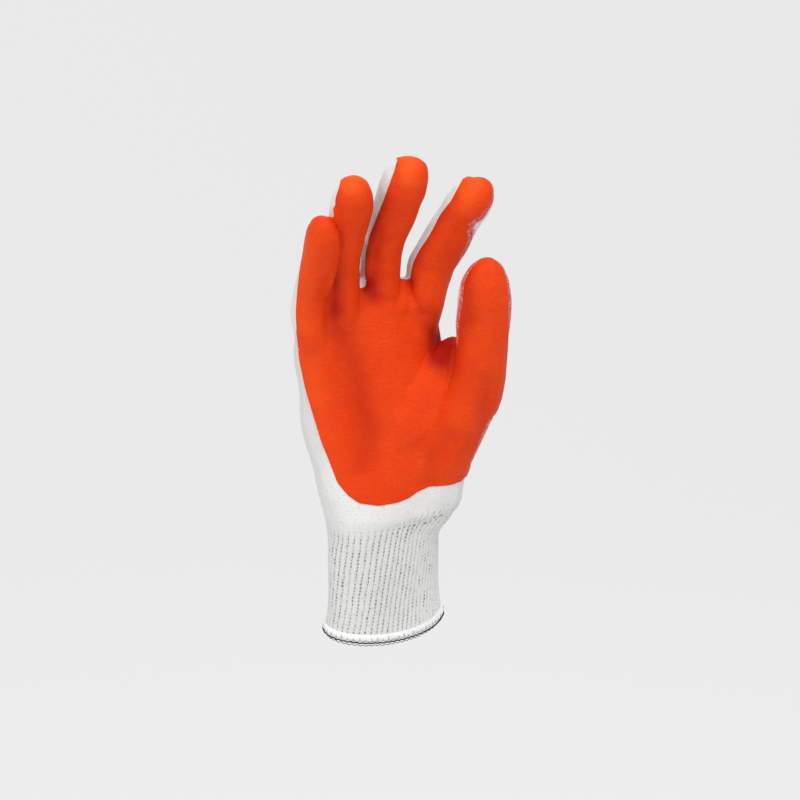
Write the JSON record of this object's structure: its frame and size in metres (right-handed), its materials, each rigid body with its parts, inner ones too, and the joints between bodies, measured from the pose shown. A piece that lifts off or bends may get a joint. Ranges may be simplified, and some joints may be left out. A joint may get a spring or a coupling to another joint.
{
  "type": "latex coated grip glove",
  "caption": "Right-hand work glove in white seamless string knit with an orange latex coated palm, ribbed knit cuff and black overlocked hem, in its worn shape.",
  "frame": {"origin": "centre of the wrist opening, on the forearm's axis", "axes": "+Z from the wrist opening to the fingertips, palm facing -Y, thumb on +X"},
  "size_m": [0.1044, 0.1006, 0.2478],
  "materials": {
    "white_knit": "matte string knit",
    "white_yarn": "matte rolled knit",
    "black_thread": "matte overlock thread",
    "orange_latex": "matte crinkled latex film"
  },
  "bodies": {
    "root": {"knit_hand": "white_knit", "rib_cuff": "white_knit", "cuff_hem": "white_yarn", "overlock_edge": "black_thread", "latex_palm": "orange_latex"}
  },
  "joints": []
}
